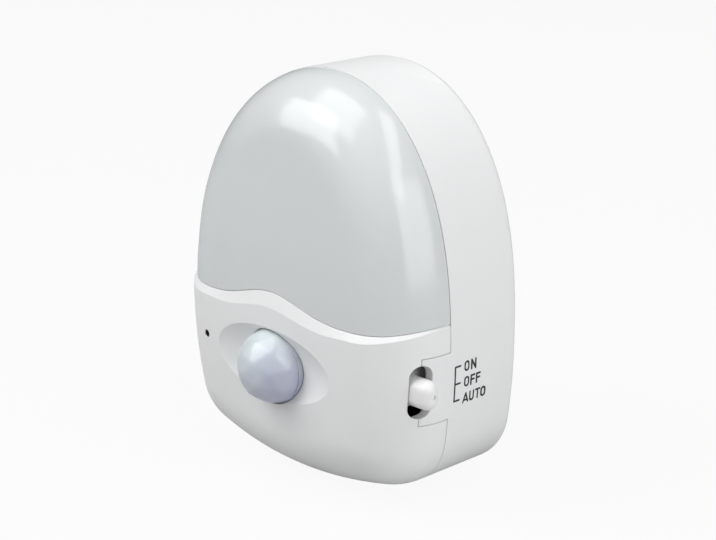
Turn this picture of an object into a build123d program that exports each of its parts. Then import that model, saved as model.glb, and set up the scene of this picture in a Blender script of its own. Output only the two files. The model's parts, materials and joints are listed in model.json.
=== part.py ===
"""Plug-in night light with a motion sensor and a three-position slide switch.

Millimetres. The origin is on the wall face, in the middle of the plug. +Z is up and the room
lies along -Y, so Plane.XZ.offset(d) is the plane d in front of the wall face.
"""

import os
from math import asin, cos, pi, sin, sqrt

from build123d import *

# ---- Case outline, seen from the room ----
case_width = 84.6
case_height = 104.8
plug_height = 49.8              # plug axis above the lowest point
widest_height = 38.3            # widest place above the lowest point
arch_power_up = 2.51            # superellipse powers of the arched upper part
arch_power_across = 2.116
foot_width = 78.0               # between the two lower corners before rounding
foot_rise = 6.2                 # how far those corners stand above the lowest point
foot_corner_radius = 17.3
side_draft = 0.6                # narrowing of each side from the wall face to the front

# ---- Case depth ----
housing_depth = 24.8            # wall face to the parting line
dome_rise = 21.2                # parting line to the foremost place of the cover
dome_peak_height = 46.3         # foremost place above the lowest point
dome_across_radius = 224.0
dome_upright_radius = 232.0
front_round = 17.8
rear_round = 2.6
arch_steps = 9                  # spline points from the widest place to the top

# ---- Walls ----
housing_wall = 2.2
cover_wall = 1.7
diffuser_wall = 2.0
seam_gap = 0.15                 # between two shells at their parting line
fit_gap = 0.2                   # between nested shells
skirt_length = 3.0              # lips of the cover and the diffuser inside the housing
skirt_wall = 1.3
skirt_root = 1.4

# ---- Diffuser and wave-shaped top edge of the cover ----
diffuser_front_step = 1.1       # diffuser below the cover, at the front
diffuser_side_step = 0.1        # and at its rim
diffuser_round = 18.1
tuck = 1.6                      # how far the diffuser reaches under the cover
wave_crest_height = 51.3        # above the lowest point, as are the next two
wave_trough_height = 46.8
wave_end_height = 48.3
wave_trough_spread = 31.0       # centre line to each trough
bevel_at_crest = 3.6            # height of the bevel along the edge
bevel_at_trough = 1.85
bevel_at_ends = 0.5
wave_sharpness = 1.95           # power that narrows the crest
bevel_sharpness = 0.6           # and the one that shapes the bevel beside it
least_bevel_depth = 0.5         # of the bevel into the wall
plan_dome_steps = 5             # spline points along half of the edge, on the dome
plan_round_steps = 8            # and on its rounded side
wave_margin = 2.2               # that the cutting surface reaches past the wall
wave_cut = 16.0                 # height of the block cut away at the edge

# ---- Lens, scoop and photocell ----
lens_height = 32.0
lens_diameter = 19.4
lens_dome_height = 9.5
lens_wall = 0.9
lens_recess = 1.6               # lens rim behind the case's face
lens_seat_to_rim = 1.9
lens_flange_width = 1.4
lens_flange_thickness = 1.0
lens_gap = 0.15
lens_boss_wall = 1.5
retainer_thickness = 1.6
scoop_half_length = 20.6
scoop_half_height = 9.8
scoop_depth = 3.1
photocell_offset = 26.0         # left of the lens
photocell_height = 34.0
photocell_hole_diameter = 2.1
photocell_diameter = 5.0
photocell_thickness = 2.0
photocell_sleeve_wall = 0.7
photocell_lift = 3.0            # above the board, on its leads
photocell_lead_diameter = 0.5
photocell_lead_pitch = 2.6
photocell_sleeve_clearance = 3.6
photocell_nose_wall = 0.4
photocell_nose_recess = 0.4     # end of the sleeve's nose behind the case's face
pir_can_diameter = 9.1
pir_can_height = 4.1
pir_base_diameter = 9.8
pir_base_height = 0.6
pir_window_size = (4.0, 3.0)
pir_window_thickness = 0.4

# ---- Switch ----
switch_height = 32.9            # above the lowest point
switch_ahead = 8.6              # knob axis in front of the parting line
slot_width = 5.6
slot_length = 13.6
tongue_height = 17.1
tongue_centre_height = 32.65
switch_travel = 2.2             # each way from OFF
knob_width = 5.2
knob_height = 7.4
knob_reach = 44.7               # tip of the knob from the centre line
knob_length = 9.8               # with the plate behind the slot
knob_plate_ahead = 2.6          # plate's edges in front of the knob's axis
knob_plate_behind = 6.6         # and behind it
knob_plate_height = 9.6
knob_plate_thickness = 0.8
knob_dimple_diameter = 1.0
stem_size = 2.4
stem_gap = 0.05
switch_body_height = 14.0
switch_body_length = 6.4        # across the light, towards the knob
switch_body_face = 32.0         # the body's outer end from the centre line
switch_wall = 0.5
switch_gap = 0.25
carriage_height = 6.0
contact_thickness = 0.3
contact_height = 4.0
terminal_size = 0.6
terminal_length = 3.2            # below the base
switch_base_thickness = 1.2
terminal_pitch = 2.5
switch_terminals_across = 3
knob_dome_round = 2.4
knob_dimple_depth = 0.4
knob_socket_depth = 2.0

# ---- Boards ----
board_thickness = 1.6
board_screw_edge = 3.6          # screw centre to the board's edges
sensor_board_width = 64.4
sensor_board_height = 22.5
sensor_board_centre_height = 30.6
sensor_board_ahead = 6.4        # its front face in front of the parting line
sensor_board_screw_width = 44.0
power_board_width = 46.0
power_board_height = 42.0
power_board_centre_height = 48.0
power_board_standoff = 5.0
led_board_depth = 20.6          # its rear face in front of the wall face
led_board_edge = 7.5            # case outline to the board's edge
led_board_foot_height = 51.5
led_board_thickness = 1.2
led_size = 3.5
led_thickness = 1.6
led_columns = 3
led_rows = 2
led_column_pitch = 18.0
led_row_pitch = 17.0
led_centre_height = 73.0
led_screw_foot_spread = 28.0
led_screw_edge = 5.0
led_screw_top_spread = 12.0
led_screw_rise = 19.0
reflector_thickness = 1.2
led_window_gap = 0.4
baffle_height = 42.9
baffle_depth_gap = 0.3          # behind the lens retainer

board_corner_round = 1.0
wire_diameter = 1.3
wire_spread = 16.5              # mains wires' pads, from the centre line
wire_drop = 14.0                # and below the power board's middle
wire_exit_depth = 0.6           # where the mains wires leave the boss
wire_side_step = 2.0
wire_turn_share = 0.34
wire_end_run = 2.6
wire_wide_bend = 2.0
wire_tight_bend = 1.3
wire_run = 3.2
led_wire_starts = [(-1.5, 4.0), (1.5, 4.0)]
led_wire_ends = [(-3.0, 5.0), (3.0, 5.0)]
sensor_wire_starts = [(-6.0, -20.0), (-3.5, -20.0), (-1.0, -20.0)]
sensor_wire_ends = [(-7.0, -13.0), (-4.0, -13.0), (-1.0, -13.0)]

# ---- Components, placed from the plug axis ----
component_round = 0.3
dropper_capacitor_size = (18.0, 8.5, 10.5)
dropper_capacitor_place = (-6.0, 12.0)
smoothing_capacitor_diameter = 8.0
smoothing_capacitor_height = 11.0
smoothing_capacitor_groove = 1.4
smoothing_capacitor_place = (-12.0, -11.0)
bridge_rectifier_size = (8.4, 6.4, 3.3)
bridge_rectifier_place = (12.0, 13.0)
varistor_diameter = 7.2
varistor_thickness = 3.2
varistor_leg = 1.0
varistor_place = (12.0, 3.0)
regulator_diameter = 4.8
regulator_flat = 1.6
regulator_height = 4.6
voltage_regulator_place = (-1.0, -9.5)
axial_resistor_sizes = [(14.0, -6.0, 3.2, 8.0), (8.0, -8.0, 2.2, 6.0), (5.0, -8.0, 2.2, 6.0)]
motion_controller_size = (4.0, 10.0, 1.6)
motion_controller_place = (10.0, -19.0)
driver_transistor_size = (3.0, 2.6, 1.1)
driver_transistor_place = (-14.0, -20.0)

# ---- Plug ----
pin_spacing = 19.0
pin_diameter = 4.0
pin_length = 19.0
pin_root_diameter = 4.4          # in the boss's end wall
pin_flange_diameter = 6.4
pin_flange_thickness = 1.2
pin_tail_diameter = 2.2
pin_tail_length = 4.6
pin_tip_round = 1.6
sleeve_length = 10.0
sleeve_wall = 0.35
boss_width = 35.3
boss_height = 13.7
boss_depth = 13.5
boss_wall = 1.6
boss_flat_width = 24.0
boss_tip_height = 4.0
boss_corner_round = 1.5
boss_end_wall = 4.0
clamp_thickness = 2.0
clamp_gap = 0.3
press_gap = 0.01

# ---- Screws ----
case_screw_spread = 28.5
case_screw_height = 13.6
case_screw_diameter = 2.9
case_screw_head_diameter = 5.4
case_screw_head_height = 2.0
case_screw_length = 20.0
case_screw_seat = 13.0          # head seat in front of the wall face
small_screw_diameter = 2.2
small_screw_head_diameter = 4.0
small_screw_head_height = 1.5
small_screw_length = 6.0
screw_gap = 0.1
thread_gap = 0.02
screw_end_gap = 0.5
boss_wall_around_screw = 1.4

# ---- Derived places ----
bottom_z = -plug_height
top_z = bottom_z + case_height
widest_z = bottom_z + widest_height
dome_peak_z = bottom_z + dome_peak_height
lens_z = bottom_z + lens_height
switch_z = bottom_z + switch_height
face_depth = housing_depth + dome_rise
switch_depth = housing_depth + switch_ahead
lens_face_depth = face_depth - (dome_peak_height - lens_height) ** 2 / (2 * dome_upright_radius)
lens_rim_depth = lens_face_depth - lens_recess
photocell_drop = (dome_peak_height - photocell_height) ** 2 / (2 * dome_upright_radius)
photocell_face_depth = face_depth - photocell_drop - photocell_offset**2 / (2 * dome_across_radius)
sensor_board_front = housing_depth + sensor_board_ahead
lens_seat_depth = lens_rim_depth - lens_seat_to_rim
lens_flange_diameter = lens_diameter + 2 * lens_flange_width
lens_boss_bore = lens_flange_diameter + 2 * lens_gap
retainer_depth = lens_seat_depth - lens_flange_thickness - retainer_thickness
photocell_place = (-photocell_offset, bottom_z + photocell_height)
tongue_z = bottom_z + tongue_centre_height
wave_level = bottom_z + (wave_crest_height + wave_trough_height) / 2
wave_up = (wave_level - widest_z) / (top_z - widest_z)
wave_across = (1 - wave_up**arch_power_up) ** (1 / arch_power_across)
wave_half_width = case_width / 2 * wave_across - side_draft / 2
sensor_board_z = bottom_z + sensor_board_centre_height
sensor_board_rear = sensor_board_front - board_thickness
power_board_z = bottom_z + power_board_centre_height
power_board_rear = housing_wall + power_board_standoff
power_board_front = power_board_rear + board_thickness
led_board_foot_z = bottom_z + led_board_foot_height
led_board_front = led_board_depth + led_board_thickness
led_centre_z = bottom_z + led_centre_height
case_screw_z = bottom_z + case_screw_height
boss_floor = boss_end_wall - boss_depth     # inner face of the plug boss's end wall
clamp_depth = boss_floor + pin_flange_thickness
small_post_radius = small_screw_diameter / 2 + boss_wall_around_screw
case_post_radius = case_screw_head_diameter / 2 + screw_gap + boss_wall_around_screw
baffle_z = bottom_z + baffle_height
pin_places = [(-pin_spacing / 2, 0), (pin_spacing / 2, 0)]
case_screw_places = [(-case_screw_spread, case_screw_z), (case_screw_spread, case_screw_z)]


def corner_places(width, height, edge, middle_z):
    """Four places, edge in from the corners of a board."""
    across = width / 2 - edge
    up = height / 2 - edge
    return [(x, middle_z + z) for x in (-across, across) for z in (-up, up)]


power_board_screws_at = corner_places(power_board_width, power_board_height, board_screw_edge, power_board_z)
sensor_board_screws_at = corner_places(
    sensor_board_screw_width, sensor_board_height, board_screw_edge, sensor_board_z
)
led_board_screws_at = [
    (-led_screw_foot_spread, led_board_foot_z + led_screw_edge),
    (led_screw_foot_spread, led_board_foot_z + led_screw_edge),
    (-led_screw_top_spread, led_centre_z + led_screw_rise),
    (led_screw_top_spread, led_centre_z + led_screw_rise),
]


# ---- Shapes that several pieces share ----
def case_face(inset):
    """The case outline as a face, moved in by inset all round."""
    half_width = case_width / 2 - inset
    rise = top_z - widest_z - inset
    foot_x, foot_z = foot_width / 2 - inset, bottom_z + foot_rise + inset
    arch = []
    for step in range(arch_steps + 1):
        up = sin(step / arch_steps * pi / 2) ** (2 / arch_power_up)
        across = (1 - up**arch_power_up) ** (1 / arch_power_across)
        arch.append((half_width * across, widest_z + rise * up))
    other_side = [(-x, z) for x, z in reversed(arch[:-1])]
    with BuildSketch() as outline:
        with BuildLine():
            Spline(arch + other_side, tangents=[(0, 1), (0, -1)])
            TangentArc((half_width, widest_z), (foot_x, foot_z), tangent=(0, -1))
            ThreePointArc((foot_x, foot_z), (0, bottom_z + inset), (-foot_x, foot_z))
            TangentArc((-half_width, widest_z), (-foot_x, foot_z), tangent=(0, -1))
        make_face()
        fillet(outline.vertices().sort_by(Axis.Y)[:2], radius=foot_corner_radius - inset)
    return outline.sketch


def case_form(inset, front_inset, edge_round):
    """The closed shape of the case, moved in by inset at its sides and by front_inset at its front."""
    front = face_depth - front_inset
    with BuildSketch(Plane.YZ) as side_view:
        with BuildLine():
            crown = CenterArc((dome_upright_radius - front, dome_peak_z), dome_upright_radius, 160, 40)
            axis_y = dome_across_radius - front
            Polyline(crown @ 0, (axis_y, (crown @ 0).Y), (axis_y, (crown @ 1).Y), crown @ 1)
        make_face()
    with BuildPart() as form:
        for depth, narrowing in ((inset, 0), (face_depth + 1, side_draft)):
            with BuildSketch(Plane.XZ.offset(depth)):
                add(case_face(inset + narrowing))
        loft(ruled=True)
        revolve(side_view.sketch, axis=Axis((0, axis_y, 0), (0, 0, 1)), mode=Mode.INTERSECT)
        fillet(form.faces().sort_by(Axis.Y)[0].edges(), radius=edge_round)
        if rear_round > inset:
            fillet(form.faces().sort_by(Axis.Y)[-1].edges(), radius=rear_round - inset)
    return form.part


def wave_height(x):
    """Height of the cover's top edge above the lowest point, x from the centre line."""
    spread = abs(x)
    if spread < wave_trough_spread:
        crest = ((1 + cos(pi * spread / wave_trough_spread)) / 2) ** wave_sharpness
        return wave_trough_height + (wave_crest_height - wave_trough_height) * crest
    beyond = (spread - wave_trough_spread) / (wave_half_width - wave_trough_spread)
    return wave_trough_height + (wave_end_height - wave_trough_height) * beyond**2


def bevel_height(x):
    """Height of the bevel below that edge, x from the centre line."""
    spread = abs(x)
    if spread < wave_trough_spread:
        crest = ((1 + cos(pi * spread / wave_trough_spread)) / 2) ** bevel_sharpness
        return bevel_at_trough + (bevel_at_crest - bevel_at_trough) * crest
    beyond = (spread - wave_trough_spread) / (wave_half_width - wave_trough_spread)
    return bevel_at_trough + (bevel_at_ends - bevel_at_trough) * beyond


def half_plan():
    """Half of the case's plan at the wave: (x, depth, angle of the outward normal), front to side."""
    centre_radius = dome_across_radius - front_round
    round_x = wave_half_width - front_round
    tilt = asin(round_x / centre_radius)
    dome_centre = face_depth - dome_across_radius
    round_depth = dome_centre + centre_radius * cos(tilt)
    places = []
    for step in range(plan_dome_steps):
        angle = tilt * step / plan_dome_steps
        x = dome_across_radius * sin(angle)
        places.append((x, dome_centre + dome_across_radius * cos(angle), angle))
    for step in range(plan_round_steps + 1):
        angle = tilt + (pi / 2 - tilt) * step / plan_round_steps
        places.append((round_x + front_round * sin(angle), round_depth + front_round * cos(angle), angle))
    return places


def step_at(angle):
    """How far the diffuser lies below the cover where the outward normal has that angle."""
    rounding = (diffuser_round - front_round) * (cos(angle) + sin(angle) - 1)
    return diffuser_front_step * cos(angle) + diffuser_side_step * sin(angle) + rounding


def wave_line(outward, lift, bevel_share):
    """The wave at a distance outward from the case's surface, from wall to wall around the front."""
    points = []
    for x, depth, angle in half_plan():
        drop_share = bevel_share * (1 + outward / max(step_at(angle), least_bevel_depth))
        z = bottom_z + wave_height(x) - bevel_height(x) * drop_share + lift
        points.append((x + outward * sin(angle), -depth - outward * cos(angle), z))
    points.append((points[-1][0], wave_margin - housing_depth, points[-1][2]))
    other_side = [(-x, y, z) for x, y, z in reversed(points[1:])]
    with BuildLine() as line:
        Spline(other_side + points)
    return line.edge()


def wave_surface(lift, depth, bevel_share):
    """The surface along the wave, from outside the case to depth inside it."""
    outer = wave_line(wave_margin, lift, bevel_share)
    inner = wave_line(-depth - wave_margin, lift, bevel_share)
    return Face.make_surface_from_curves(outer, inner)


def scoop_form(grow):
    """The spindle whose side cuts the scoop, with its surface moved out by grow."""
    middle_radius = (scoop_half_height**2 / scoop_depth + scoop_depth) / 2
    end_loss = scoop_depth - scoop_half_length**2 / (2 * dome_across_radius)
    profile_radius = (scoop_half_length**2 + end_loss**2) / (2 * end_loss)
    half_chord = sqrt((profile_radius + grow) ** 2 - (profile_radius - middle_radius) ** 2)
    axis_depth = lens_face_depth + middle_radius - scoop_depth
    with BuildPart() as spindle:
        with BuildSketch(Plane((0, -axis_depth, lens_z))):
            with BuildLine():
                ThreePointArc((-half_chord, 0), (0, middle_radius + grow), (half_chord, 0))
                Line((half_chord, 0), (-half_chord, 0))
            make_face()
        revolve(axis=Axis((0, -axis_depth, lens_z), (1, 0, 0)))
    return spindle.part


def front_plane(x, z, depth):
    """A plane parallel to the wall, depth in front of it, that faces the room."""
    return Plane((x, -depth, z), x_dir=(1, 0, 0), z_dir=(0, -1, 0))


def slot_form(grow):
    """The obround switch slot, a bar across the light, widened by grow all round."""
    with BuildPart() as bar:
        with BuildSketch(Plane.YZ.offset(switch_body_face)):
            with Locations((-switch_depth, switch_z)):
                SlotOverall(slot_length + 2 * grow, slot_width + 2 * grow, rotation=90)
        extrude(amount=case_width / 2)
    return bar.part


def tongue_form(gap):
    """The block that bounds the housing's tongue beside the switch, larger by gap all round."""
    with BuildPart() as block:
        with BuildSketch(Plane.YZ.offset(switch_body_face)):
            with Locations((-(switch_depth + housing_depth) / 2, tongue_z)):
                Rectangle(switch_ahead + 2 * gap, tongue_height + 2 * gap)
        extrude(amount=case_width / 2)
    return block.part


def screw(plane, diameter, length, head_diameter, head_height):
    """A pan-head screw whose head stands on the plane and whose shank runs down from it."""
    with BuildPart() as body:
        with BuildSketch(plane):
            Circle(head_diameter / 2)
        extrude(amount=head_height)
        head_edge = body.edges().filter_by(GeomType.CIRCLE).sort_by(Axis(plane.origin, plane.z_dir))[-1]
        fillet(head_edge, radius=head_height / 3)
        with BuildSketch(plane):
            Circle(diameter / 2)
        extrude(amount=-length)
        with BuildSketch(plane.offset(head_height)):
            Rectangle(head_diameter * 0.6, head_height / 4)
            Rectangle(head_height / 4, head_diameter * 0.6)
        extrude(amount=-head_height / 2, mode=Mode.SUBTRACT)
    return body.part


def tube(points, radii, diameter):
    """A round wire along straight runs joined by arcs."""
    with BuildPart() as wire:
        with BuildLine() as path:
            FilletPolyline(*points, radius=radii)
        with BuildSketch(Plane(path.line @ 0, z_dir=path.line % 0)):
            Circle(diameter / 2)
        sweep(path=path.line)
    return wire.part


def component(size, start, place):
    """A box-shaped component, (width, height, thickness), whose back lies start in front of the wall face."""
    width, height, thickness = size
    with BuildPart() as body:
        with BuildSketch(Plane.XZ.offset(start)):
            with Locations(place):
                Rectangle(width, height)
        extrude(amount=thickness)
        fillet(body.edges(), radius=component_round)
    return body.part


def boss_face(inset):
    """The plug boss's outline, a flattened hexagon, moved in by inset all round."""
    half_width, half_height = boss_width / 2 - inset, boss_height / 2 - inset
    half_flat, half_tip = boss_flat_width / 2 - inset / 2, boss_tip_height / 2 - inset / 2
    quarter = [(half_width, half_tip), (half_flat, half_height)]
    upper = quarter + [(-x, z) for x, z in reversed(quarter)]
    lower = [(x, -z) for x, z in reversed(upper)]
    with BuildSketch() as outline:
        Polygon(*upper, *lower, align=None)
        fillet(outline.vertices(), radius=boss_corner_round)
    return outline.sketch


def posts(places, start, end, radius):
    """Round posts that stand on the plane start in front of the wall face and reach to end."""
    with BuildPart() as group:
        with BuildSketch(Plane.XZ.offset(start)):
            with Locations(*places):
                Circle(radius)
        extrude(amount=end - start)
    return group.part


def ring_form(outer_form, inner_form, start, end):
    """The band between two case forms, from start to end in front of the wall face."""
    with BuildPart() as band:
        add(outer_form)
        add(inner_form, mode=Mode.SUBTRACT)
        split(bisect_by=Plane.XZ.offset(start), keep=Keep.TOP)
        split(bisect_by=Plane.XZ.offset(end), keep=Keep.BOTTOM)
    return band.part


os.makedirs("parts", exist_ok=True)

case_outer = case_form(0, 0, front_round)
case_middle = case_form(cover_wall / 2, cover_wall / 2, front_round - cover_wall / 2)
case_inside_housing = case_form(housing_wall, housing_wall, front_round - housing_wall)
case_inside_cover = case_form(cover_wall, cover_wall, front_round - cover_wall)
skirt_inset = housing_wall + fit_gap
skirt_outside = case_form(skirt_inset, skirt_inset, front_round - skirt_inset)
skirt_inside = case_form(
    skirt_inset + skirt_wall, skirt_inset + skirt_wall, front_round - skirt_inset - skirt_wall
)
seam_depth = housing_depth + seam_gap
skirt_end = seam_depth + skirt_root
skirt = ring_form(skirt_outside, skirt_inside, housing_depth - skirt_length, skirt_end)
skirt_shelf = ring_form(case_middle, skirt_inside, seam_depth, skirt_end)
above_wave = Plane.XY.offset(bottom_z + wave_crest_height + skirt_wall)
below_wave = Plane.XY.offset(bottom_z + wave_trough_height - bevel_at_crest - skirt_wall)

# ---- Rear housing ----
with BuildPart() as tongue:
    add(case_outer)
    add(tongue_form(0), mode=Mode.INTERSECT)

with BuildPart() as rear_housing:
    add(case_outer)
    split(bisect_by=Plane.XZ.offset(housing_depth), keep=Keep.BOTTOM)
    add(tongue.part)
    add(case_inside_housing, mode=Mode.SUBTRACT)
    add(slot_form(0), mode=Mode.SUBTRACT)
    # Plug boss, hollow from inside the case
    with BuildSketch(Plane.XZ.offset(-boss_depth)):
        add(boss_face(0))
    extrude(amount=boss_depth + housing_wall)
    with BuildSketch(Plane.XZ.offset(boss_floor)):
        add(boss_face(boss_wall))
    extrude(amount=boss_depth + housing_wall, mode=Mode.SUBTRACT)
    # Posts for the pin clamp and the two boards, and columns for the case screws
    add(posts([(0, 0)], boss_floor, clamp_depth, small_post_radius))
    add(posts(power_board_screws_at, housing_wall / 2, power_board_rear, small_post_radius))
    add(posts(led_board_screws_at, housing_wall / 2, led_board_depth, small_post_radius))
    add(posts(case_screw_places, housing_wall / 2, housing_depth, case_post_radius))
    # Holes
    pin_bore = pin_root_diameter / 2 + press_gap
    add(posts(pin_places, -boss_depth, boss_floor, pin_bore), mode=Mode.SUBTRACT)
    screw_bore = small_screw_diameter / 2 + thread_gap
    clamp_screw_floor = clamp_depth + clamp_thickness - small_screw_length - screw_end_gap
    add(posts([(0, 0)], clamp_screw_floor, clamp_depth, screw_bore), mode=Mode.SUBTRACT)
    power_screw_floor = power_board_front - small_screw_length - screw_end_gap
    add(posts(power_board_screws_at, power_screw_floor, power_board_rear, screw_bore), mode=Mode.SUBTRACT)
    led_screw_floor = led_board_front - small_screw_length - screw_end_gap
    add(posts(led_board_screws_at, led_screw_floor, led_board_depth, screw_bore), mode=Mode.SUBTRACT)
    add(
        posts(case_screw_places, 0, case_screw_seat, case_screw_head_diameter / 2 + screw_gap),
        mode=Mode.SUBTRACT,
    )
    add(
        posts(case_screw_places, 0, housing_depth, case_screw_diameter / 2 + screw_gap),
        mode=Mode.SUBTRACT,
    )
rear_housing.part.label = "rear_housing"
export_step(rear_housing.part, "parts/rear_housing.step")

# ---- Front cover ----
with BuildPart() as cover_posts:
    add(posts(sensor_board_screws_at, sensor_board_front, face_depth, small_post_radius))
    add(posts(case_screw_places, seam_depth, face_depth, case_screw_diameter / 2 + boss_wall_around_screw))
    add(case_middle, mode=Mode.INTERSECT)

with BuildPart() as scoop_backing:
    add(scoop_form(cover_wall))
    add(case_middle, mode=Mode.INTERSECT)

with BuildPart() as cover_skirt:
    add(skirt)
    add(skirt_shelf)
    split(bisect_by=below_wave, keep=Keep.BOTTOM)
    add(tongue_form(skirt_wall), mode=Mode.SUBTRACT)
    add(posts(case_screw_places, 0, housing_depth, case_post_radius + fit_gap), mode=Mode.SUBTRACT)

with BuildPart() as front_cover:
    add(case_outer)
    split(bisect_by=Plane.XZ.offset(seam_depth), keep=Keep.TOP)
    add(case_inside_cover, mode=Mode.SUBTRACT)
    for bevel_share in (0, 1):
        edge = wave_surface(0, cover_wall, bevel_share)
        extrude(edge, amount=wave_cut, dir=(0, 0, 1), mode=Mode.SUBTRACT)
    split(bisect_by=above_wave, keep=Keep.BOTTOM)
    add(cover_skirt.part)
    add(scoop_backing.part)
    add(cover_posts.part)
    lens_post = posts([(0, lens_z)], retainer_depth, lens_rim_depth, lens_boss_bore / 2 + lens_boss_wall)
    add(lens_post)
    add(scoop_form(0), mode=Mode.SUBTRACT)
    add(posts([(0, lens_z)], retainer_depth, lens_seat_depth, lens_boss_bore / 2), mode=Mode.SUBTRACT)
    add(posts([(0, lens_z)], lens_seat_depth, face_depth, lens_diameter / 2 + lens_gap), mode=Mode.SUBTRACT)
    photocell_hole = posts([photocell_place], housing_depth, face_depth, photocell_hole_diameter / 2)
    add(photocell_hole, mode=Mode.SUBTRACT)
    add(tongue_form(seam_gap), mode=Mode.SUBTRACT)
    add(slot_form(0), mode=Mode.SUBTRACT)
    sensor_screw_end = sensor_board_rear + small_screw_length + screw_end_gap
    add(posts(sensor_board_screws_at, sensor_board_front, sensor_screw_end, screw_bore), mode=Mode.SUBTRACT)
    case_screw_end = case_screw_seat + case_screw_length + screw_end_gap
    case_bore = case_screw_diameter / 2 + thread_gap
    add(posts(case_screw_places, seam_depth, case_screw_end, case_bore), mode=Mode.SUBTRACT)
front_cover.part.label = "front_cover"
export_step(front_cover.part, "parts/front_cover.step")

# ---- Diffuser ----
diffuser_outside = case_form(diffuser_side_step, diffuser_front_step, diffuser_round)
diffuser_inside = case_form(
    diffuser_side_step + diffuser_wall, diffuser_front_step + diffuser_wall, diffuser_round - diffuser_wall
)
diffuser_shell = ring_form(diffuser_outside, diffuser_inside, seam_depth, face_depth)
under_cover_inset = cover_wall + fit_gap
with BuildPart() as diffuser_tuck:
    add(diffuser_shell)
    add(
        case_form(under_cover_inset, under_cover_inset, front_round - under_cover_inset),
        mode=Mode.INTERSECT,
    )
    tuck_surface = wave_surface(-tuck, diffuser_front_step + diffuser_wall, 0)
    extrude(tuck_surface, amount=wave_cut, dir=(0, 0, 1), mode=Mode.INTERSECT)

with BuildPart() as diffuser_skirt:
    add(skirt)
    add(skirt_shelf)
    add(diffuser_outside, mode=Mode.INTERSECT)
    split(bisect_by=above_wave, keep=Keep.TOP)

with BuildPart() as diffuser:
    add(diffuser_shell)
    lower_surface = wave_surface(seam_gap, diffuser_front_step + diffuser_wall, 0)
    extrude(lower_surface, amount=wave_cut, dir=(0, 0, -1), mode=Mode.SUBTRACT)
    split(bisect_by=below_wave, keep=Keep.TOP)
    add(diffuser_tuck.part)
    add(diffuser_skirt.part)
diffuser.part.label = "diffuser"
export_step(diffuser.part, "parts/diffuser.step")

# ---- Lens and its retainer ----
lens_radius = lens_diameter / 2
lens_flange_rear = lens_seat_depth - lens_flange_thickness
lens_tip_depth = lens_rim_depth + lens_dome_height
lens_axis = Axis((0, 0, lens_z), (0, 1, 0))
with BuildPart() as pir_lens:
    with BuildSketch(Plane((0, 0, lens_z))):
        with BuildLine():
            TangentArc((0, -lens_tip_depth), (lens_radius, -lens_rim_depth), tangent=(1, 0))
            Polyline(
                (lens_radius, -lens_rim_depth),
                (lens_radius, -lens_seat_depth),
                (lens_flange_diameter / 2, -lens_seat_depth),
                (lens_flange_diameter / 2, -lens_flange_rear),
                (lens_radius - lens_wall, -lens_flange_rear),
                (lens_radius - lens_wall, -lens_rim_depth),
            )
            TangentArc(
                (0, lens_wall - lens_tip_depth), (lens_radius - lens_wall, -lens_rim_depth), tangent=(1, 0)
            )
            Line((0, lens_wall - lens_tip_depth), (0, -lens_tip_depth))
        make_face()
    revolve(axis=lens_axis)
pir_lens.part.label = "pir_lens"
export_step(pir_lens.part, "parts/pir_lens.step")

with BuildPart() as lens_retainer:
    add(posts([(0, lens_z)], retainer_depth, lens_flange_rear, lens_boss_bore / 2 - press_gap))
    add(posts([(0, lens_z)], retainer_depth, lens_flange_rear, lens_radius - lens_wall), mode=Mode.SUBTRACT)
lens_retainer.part.label = "lens_retainer"
export_step(lens_retainer.part, "parts/lens_retainer.step")

# ---- Plug pins, their sleeves and the clamp that holds them in the boss ----
pin_tip = -boss_depth - pin_length
for side, place in (("live", pin_places[0]), ("neutral", pin_places[1])):
    with BuildPart() as plug_pin:
        add(posts([place], pin_tip, -boss_depth, pin_diameter / 2))
        tip_edge = plug_pin.edges().filter_by(GeomType.CIRCLE).sort_by(Axis.Y)[-1]
        fillet(tip_edge, radius=pin_tip_round)
        add(posts([place], -boss_depth, boss_floor, pin_root_diameter / 2))
        add(posts([place], boss_floor, clamp_depth, pin_flange_diameter / 2))
        add(posts([place], clamp_depth, clamp_depth + pin_tail_length, pin_tail_diameter / 2))
        sleeve_seat = -boss_depth - sleeve_length
        sleeve_bore = pin_diameter / 2 - sleeve_wall
        add(posts([place], sleeve_seat, -boss_depth, pin_diameter / 2), mode=Mode.SUBTRACT)
        add(posts([place], sleeve_seat, -boss_depth, sleeve_bore))
    plug_pin.part.label = f"plug_pin_{side}"
    export_step(plug_pin.part, f"parts/plug_pin_{side}.step")

    with BuildPart() as pin_sleeve:
        add(posts([place], sleeve_seat, -boss_depth, pin_diameter / 2))
        add(posts([place], sleeve_seat, -boss_depth, sleeve_bore + press_gap), mode=Mode.SUBTRACT)
    pin_sleeve.part.label = f"pin_sleeve_{side}"
    export_step(pin_sleeve.part, f"parts/pin_sleeve_{side}.step")

with BuildPart() as pin_clamp:
    with BuildSketch(Plane.XZ.offset(clamp_depth)):
        add(boss_face(boss_wall + clamp_gap))
        with Locations(*pin_places):
            Circle(pin_tail_diameter / 2 + clamp_gap, mode=Mode.SUBTRACT)
        Circle(small_screw_diameter / 2 + screw_gap, mode=Mode.SUBTRACT)
    extrude(amount=clamp_thickness)
pin_clamp.part.label = "pin_clamp"
export_step(pin_clamp.part, "parts/pin_clamp.step")

small_screw = (small_screw_diameter, small_screw_length, small_screw_head_diameter, small_screw_head_height)
with BuildPart() as pin_clamp_screw:
    add(screw(front_plane(0, 0, clamp_depth + clamp_thickness), *small_screw))
pin_clamp_screw.part.label = "pin_clamp_screw"
export_step(pin_clamp_screw.part, "parts/pin_clamp_screw.step")

# ---- Power board and what stands on it ----
with BuildPart() as power_board:
    with BuildSketch(Plane.XZ.offset(power_board_rear)):
        with Locations((0, power_board_z)):
            RectangleRounded(power_board_width, power_board_height, board_corner_round)
        with Locations(*power_board_screws_at):
            Circle(small_screw_diameter / 2 + screw_gap, mode=Mode.SUBTRACT)
    extrude(amount=board_thickness)
power_board.part.label = "power_board"
export_step(power_board.part, "parts/power_board.step")

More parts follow.
